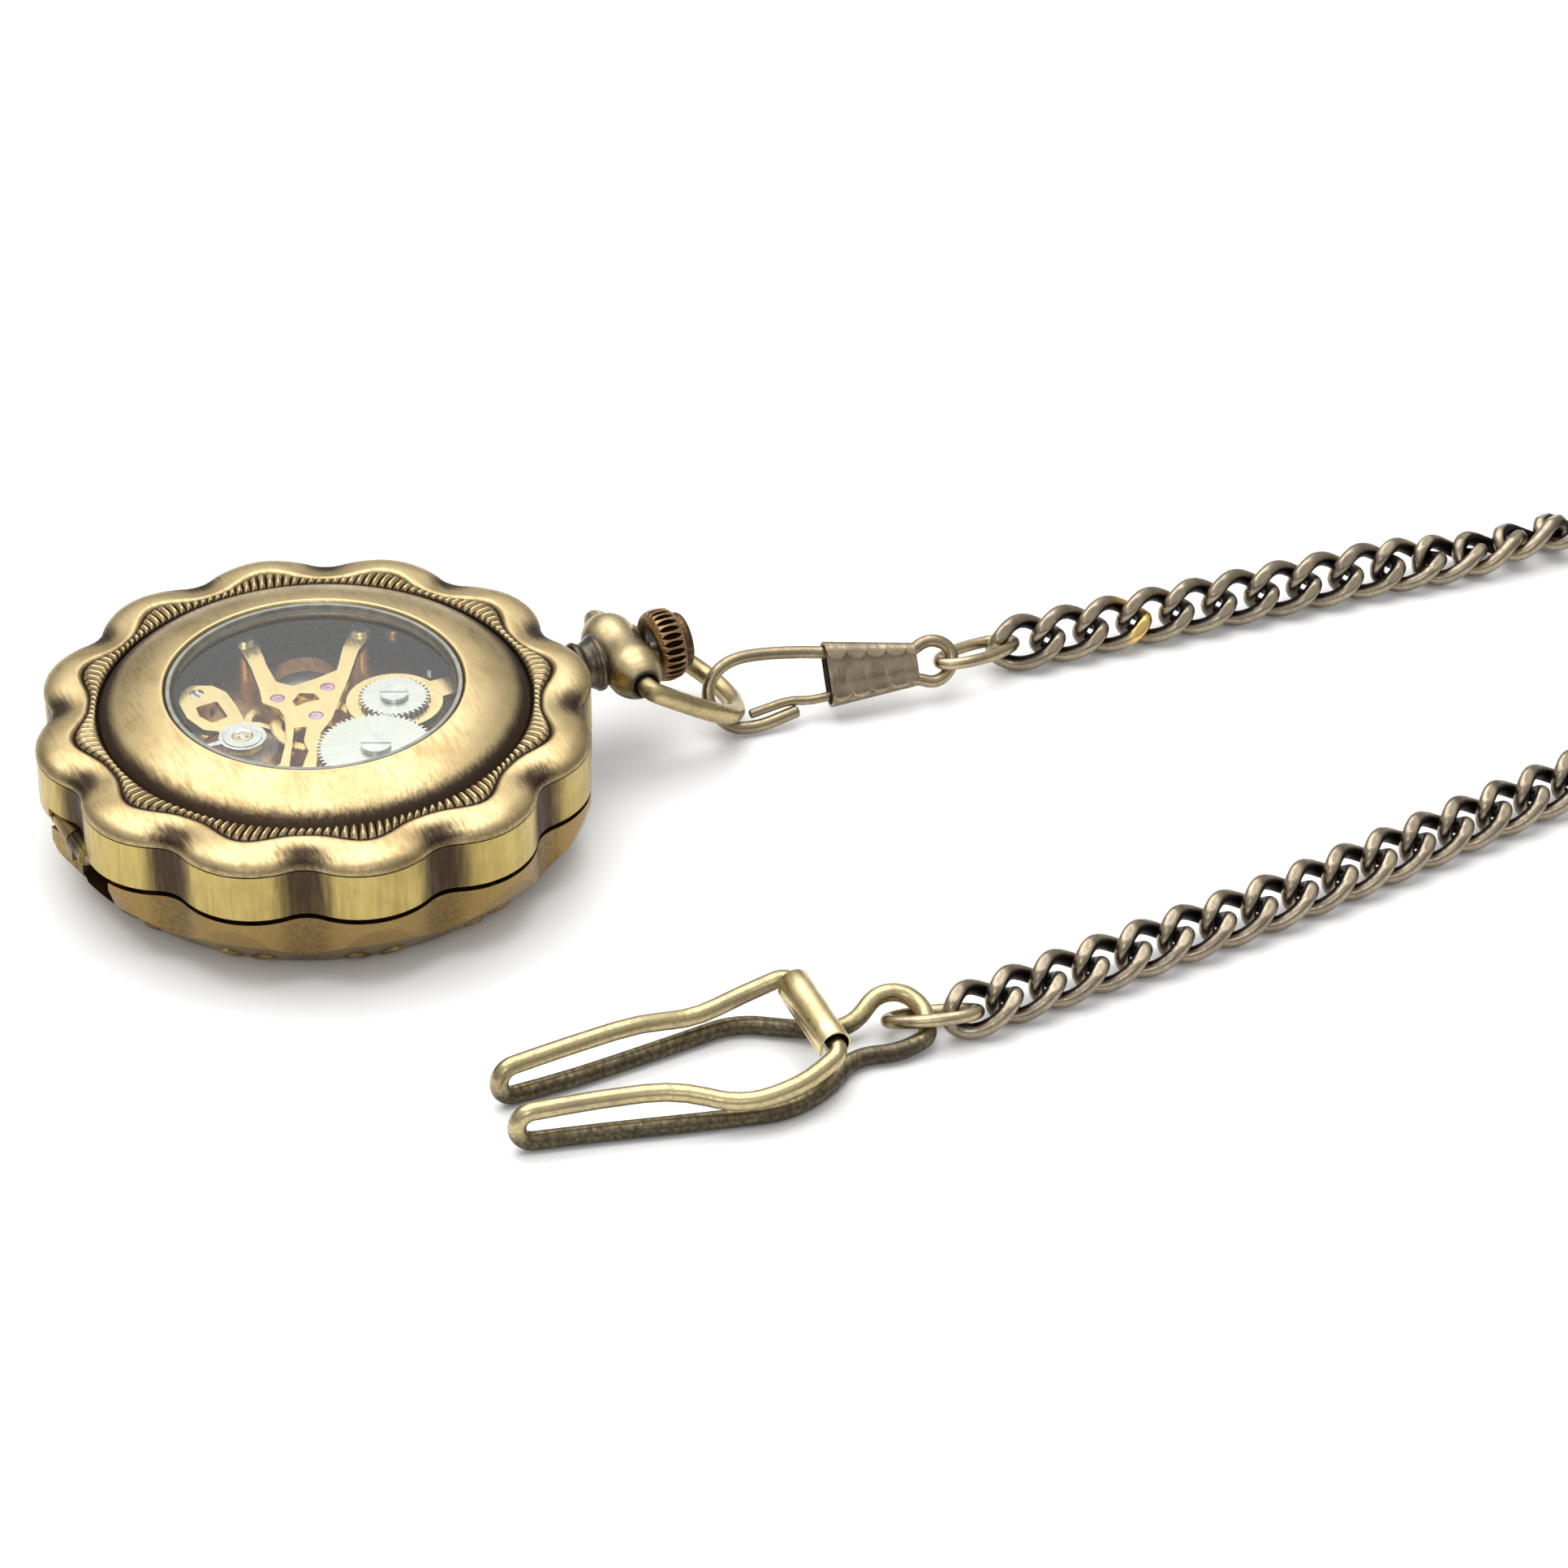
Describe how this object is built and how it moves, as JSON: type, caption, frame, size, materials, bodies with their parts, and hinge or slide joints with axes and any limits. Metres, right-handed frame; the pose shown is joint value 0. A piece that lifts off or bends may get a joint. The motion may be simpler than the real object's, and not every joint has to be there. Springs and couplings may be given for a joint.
{
  "type": "pocket watch",
  "caption": "Hunter-case mechanical pocket watch with scalloped bronze case, display back, bow, swivel clasp, curb chain and belt clip.",
  "frame": {"origin": "centre of the round case on the table plane, the watch lying face down on its front cover", "axes": "+Z out of the display back, +Y from the case centre to the pendant and crown, lid hinge at -Y"},
  "size_m": [0.0767, 0.1603, 0.0144],
  "materials": {
    "case_bronze": "brushed antique bronze with dark recesses",
    "crown_bronze": "worn copper brown",
    "dark_bronze": "dark patina",
    "crystal": "polished mineral glass",
    "gasket": "grey sealing ring",
    "steel": "polished steel",
    "blued_steel": "blued steel",
    "dial_enamel": "white enamel dial with black painted marks",
    "copper_plate": "brushed copper toned plate",
    "gilt": "gilt brass",
    "nickel_wheel": "sunburst nickel",
    "ruby": "polished synthetic ruby",
    "chain_brass": "antique brass"
  },
  "bodies": {
    "case": {"case_band": "case_bronze", "back_cover": "case_bronze", "back_crystal": "crystal", "back_crystal_gasket": "gasket", "front_bezel": "case_bronze", "front_crystal": "crystal", "dial": "dial_enamel", "movement_ring": "dark_bronze", "case_screws": "steel", "pendant_neck": "dark_bronze", "pendant_head": "case_bronze", "hinge_pin": "steel", "lid_spring": "steel", "main_plate": "copper_plate", "train_bridge": "gilt", "barrel_bridge": "gilt", "balance_cock": "gilt", "bridge_jewels": "ruby", "movement_screws": "steel", "shock_setting": "steel", "click_spring": "steel"},
    "front_cover": {"front_cover": "case_bronze"},
    "lid_catch": {"lid_catch": "steel"},
    "winding_pinion": {"winding_pinion": "steel"},
    "stem_and_crown": {"winding_stem": "steel", "crown": "crown_bronze"},
    "clutch_wheel": {"clutch_wheel": "steel"},
    "setting_lever": {"setting_lever": "steel"},
    "crown_wheel": {"crown_wheel": "nickel_wheel"},
    "ratchet": {"ratchet_wheel": "nickel_wheel", "ratchet_screw": "steel", "barrel_arbor": "steel"},
    "click": {"click": "steel"},
    "barrel": {"barrel": "gilt", "mainspring": "steel"},
    "second_wheel": {"second_wheel": "gilt"},
    "third_wheel": {"third_wheel": "gilt"},
    "fourth_wheel": {"fourth_wheel": "gilt"},
    "escape_wheel": {"escape_wheel": "steel"},
    "pallet_fork": {"pallet_fork": "steel"},
    "balance": {"balance_wheel": "gilt", "hairspring": "steel"},
    "regulator": {"regulator": "steel"},
    "minute_work": {"cannon_pinion": "steel", "minute_hand": "blued_steel"},
    "hour_work": {"hour_wheel": "gilt", "hour_hand": "blued_steel"},
    "minute_wheel": {"minute_wheel": "gilt"},
    "bow": {"bow": "case_bronze"},
    "clasp": {"clasp_hook": "chain_brass", "clasp_sleeve": "chain_brass"},
    "clasp_gate": {"clasp_gate": "chain_brass"},
    "clasp_ring": {"clasp_ring": "chain_brass"},
    "chain_on_edge": {"chain_on_edge": "chain_brass"},
    "chain_upper": {"chain_upper": "chain_brass"},
    "chain_turn": {"chain_turn": "chain_brass"},
    "chain_lower": {"chain_lower": "chain_brass"},
    "clip_ring": {"clip_ring": "chain_brass"},
    "clip": {"clip_wire": "chain_brass"},
    "clip_roller": {"clip_roller": "chain_brass"}
  },
  "joints": [
    {"name": "lid_hinge", "type": "hinge", "parent": "case", "child": "front_cover", "pos_m": [0, -0.0219, 0.0066], "axis": [-1, 0, 0], "range_deg": [0, 95]},
    {"name": "catch_slide", "type": "slide", "parent": "case", "child": "lid_catch", "axis": [0, -1, 0], "range_m": [0, 0.0004], "stiffness_N_per_m": 200},
    {"name": "crown_turn", "type": "hinge", "parent": "case", "child": "winding_pinion", "pos_m": [0, 0.0075, 0.00895], "axis": [0, 1, 0], "continuous": true},
    {"name": "stem_pull", "type": "slide", "parent": "winding_pinion", "child": "stem_and_crown", "axis": [0, 1, 0], "range_m": [0, 0.001]},
    {"name": "clutch_slide", "type": "slide", "parent": "winding_pinion", "child": "clutch_wheel", "axis": [0, 1, 0], "range_m": [-0.0008, 0]},
    {"name": "setting_lever_rock", "type": "hinge", "parent": "case", "child": "setting_lever", "pos_m": [-0.0037, 0.0118, 0.0096], "axis": [0, 0, 1], "range_deg": [0, 7.5]},
    {"name": "crown_wheel_turn", "type": "hinge", "parent": "case", "child": "crown_wheel", "pos_m": [0.00227, 0.00613, 0.0125], "axis": [0, 0, 1], "continuous": true},
    {"name": "ratchet_turn", "type": "hinge", "parent": "case", "child": "ratchet", "pos_m": [0.00846, 0.00189, 0.0125], "axis": [0, 0, 1], "continuous": true},
    {"name": "click_rock", "type": "hinge", "parent": "case", "child": "click", "pos_m": [0.0138, 0.0061, 0.0124], "axis": [0, 0, 1], "range_deg": [0, 8], "stiffness_Nm_per_rad": 0.0002},
    {"name": "fourth_wheel_turn", "type": "hinge", "parent": "case", "child": "fourth_wheel", "pos_m": [-0.00227, -0.00242, 0.00985], "axis": [0, 0, 1], "continuous": true},
    {"name": "third_wheel_turn", "type": "hinge", "parent": "case", "child": "third_wheel", "pos_m": [-0.00201, 0.00193, 0.0104], "axis": [0, 0, 1], "continuous": true},
    {"name": "second_wheel_turn", "type": "hinge", "parent": "case", "child": "second_wheel", "pos_m": [0.00144, -0.0005, 0.0112], "axis": [0, 0, 1], "continuous": true},
    {"name": "barrel_turn", "type": "hinge", "parent": "case", "child": "barrel", "pos_m": [0.00846, 0.00189, 0.0102], "axis": [0, 0, 1], "continuous": true},
    {"name": "escape_wheel_turn", "type": "hinge", "parent": "case", "child": "escape_wheel", "pos_m": [-0.0013, -0.00547, 0.0102], "axis": [0, 0, 1], "continuous": true},
    {"name": "pallet_rock", "type": "hinge", "parent": "case", "child": "pallet_fork", "pos_m": [-0.00045, -0.00745, 0.0102], "axis": [0, 0, 1], "range_deg": [-4, 4]},
    {"name": "balance_swing", "type": "hinge", "parent": "case", "child": "balance", "pos_m": [0.0019, -0.00718, 0.0108], "axis": [0, 0, 1], "range_deg": [-270, 270], "stiffness_Nm_per_rad": 0.000001, "deforming": ["hairspring"]},
    {"name": "regulator_turn", "type": "hinge", "parent": "case", "child": "regulator", "pos_m": [0.0019, -0.00718, 0.01235], "axis": [0, 0, 1], "range_deg": [-12, 12]},
    {"name": "minute_hand_turn", "type": "hinge", "parent": "case", "child": "minute_work", "pos_m": [0, 0, 0.007], "axis": [0, 0, 1], "continuous": true},
    {"name": "minute_wheel_turn", "type": "hinge", "parent": "case", "child": "minute_wheel", "pos_m": [-0.0026, 0.0015, 0.0075], "axis": [0, 0, 1], "continuous": true},
    {"name": "hour_hand_turn", "type": "hinge", "parent": "case", "child": "hour_work", "pos_m": [0, 0, 0.007], "axis": [0, 0, 1], "continuous": true},
    {"name": "bow_swing", "type": "hinge", "parent": "case", "child": "bow", "pos_m": [0, 0.0277, 0.00895], "axis": [1, 0, 0], "range_deg": [-15, 100]},
    {"name": "clasp_swing", "type": "hinge", "parent": "bow", "child": "clasp", "pos_m": [0.00242, 0.0375, 0.00205], "axis": [0, 0, 1], "range_deg": [0, 8]},
    {"name": "gate_open", "type": "hinge", "parent": "clasp", "child": "clasp_gate", "pos_m": [0.00425, 0.04781, 0.00225], "axis": [0.8041, -0.1563, 0.5736], "range_deg": [-8, 0], "stiffness_Nm_per_rad": 0.001},
    {"name": "ring_swing", "type": "hinge", "parent": "clasp", "child": "clasp_ring", "pos_m": [0.0049, 0.056, 0.0033], "axis": [0, 0, 1], "range_deg": [0, 8]},
    {"name": "chain_bend_a", "type": "hinge", "parent": "clasp_ring", "child": "chain_on_edge", "pos_m": [0.0043, 0.0619, 0.0023], "axis": [0, 0, 1], "range_deg": [0, 8]},
    {"name": "chain_bend_b", "type": "hinge", "parent": "chain_on_edge", "child": "chain_upper", "pos_m": [0.00766, 0.09845, 0.0022], "axis": [0, 0, 1], "range_deg": [0, 8]},
    {"name": "chain_bend_c", "type": "hinge", "parent": "chain_upper", "child": "chain_turn", "pos_m": [0.01078, 0.12649, 0.002], "axis": [0, 0, 1], "range_deg": [0, 6]},
    {"name": "chain_bend_d", "type": "hinge", "parent": "chain_turn", "child": "chain_lower", "pos_m": [0.03916, 0.11942, 0.002], "axis": [0, 0, 1], "range_deg": [0, 6]},
    {"name": "clip_ring_swing", "type": "hinge", "parent": "chain_lower", "child": "clip_ring", "pos_m": [0.0487, 0.0344, 0.0019], "axis": [0, 0, 1], "range_deg": [0, 8]},
    {"name": "clip_swing", "type": "hinge", "parent": "clip_ring", "child": "clip", "pos_m": [0.047, 0.0316, 0.0016], "axis": [0, 0, 1], "range_deg": [0, 8]},
    {"name": "roller_turn", "type": "hinge", "parent": "clip", "child": "clip_roller", "pos_m": [0.0466, 0.0229, 0.0045], "axis": [0.9974, -0.0725, 0], "range_deg": [-60, 60]}
  ],
  "couplings": [
    {"joint": "clutch_slide", "follows": "stem_pull", "ratio": -0.8},
    {"joint": "setting_lever_rock", "follows": "stem_pull", "rad_per_m": 130},
    {"joint": "crown_wheel_turn", "follows": "crown_turn", "ratio": -0.66667},
    {"joint": "ratchet_turn", "follows": "crown_turn", "ratio": 0.4},
    {"joint": "third_wheel_turn", "follows": "fourth_wheel_turn", "ratio": -0.13333},
    {"joint": "second_wheel_turn", "follows": "fourth_wheel_turn", "ratio": 0.016667},
    {"joint": "barrel_turn", "follows": "fourth_wheel_turn", "ratio": -0.0025},
    {"joint": "escape_wheel_turn", "follows": "fourth_wheel_turn", "ratio": -10},
    {"joint": "minute_wheel_turn", "follows": "minute_hand_turn", "ratio": -0.33333},
    {"joint": "hour_hand_turn", "follows": "minute_hand_turn", "ratio": 0.083333}
  ]
}
